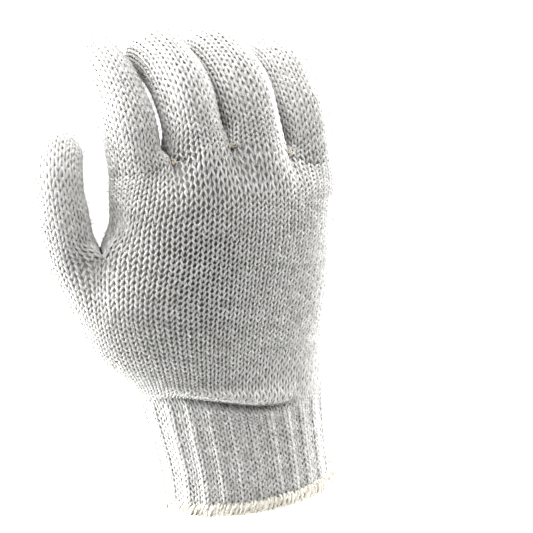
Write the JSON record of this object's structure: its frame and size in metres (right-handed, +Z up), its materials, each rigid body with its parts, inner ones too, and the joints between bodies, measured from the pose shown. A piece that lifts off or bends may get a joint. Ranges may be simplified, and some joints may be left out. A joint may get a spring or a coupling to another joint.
{
  "type": "knitted work glove",
  "caption": "Seamless knitted cotton glove with a ribbed cuff, in the shape of a worn hand with curled fingers.",
  "frame": {"origin": "centre of the wrist opening, on the plane of the cuff's edge", "axes": "+Z up the forearm to the fingers, -Y out of the back of the hand, -X to the thumb's side"},
  "size_m": [0.1344, 0.0917, 0.1987],
  "materials": {
    "cuff_edge": "overlocked cotton thread, matt",
    "rib_cuff": "ribbed cotton knit, matt",
    "hand": "plain cotton knit, matt",
    "digits": "plain cotton knit, matt",
    "knots": "knotted cotton thread, matt"
  },
  "bodies": {
    "root": {"cuff_edge": "cuff_edge", "rib_cuff": "rib_cuff", "hand": "hand", "thumb": "digits", "index_finger": "digits", "middle_finger": "digits", "ring_finger": "digits", "little_finger": "digits", "thumb_knot": "knots", "index_finger_knot": "knots", "middle_finger_knot": "knots", "ring_finger_knot": "knots", "little_finger_knot": "knots"}
  },
  "joints": []
}
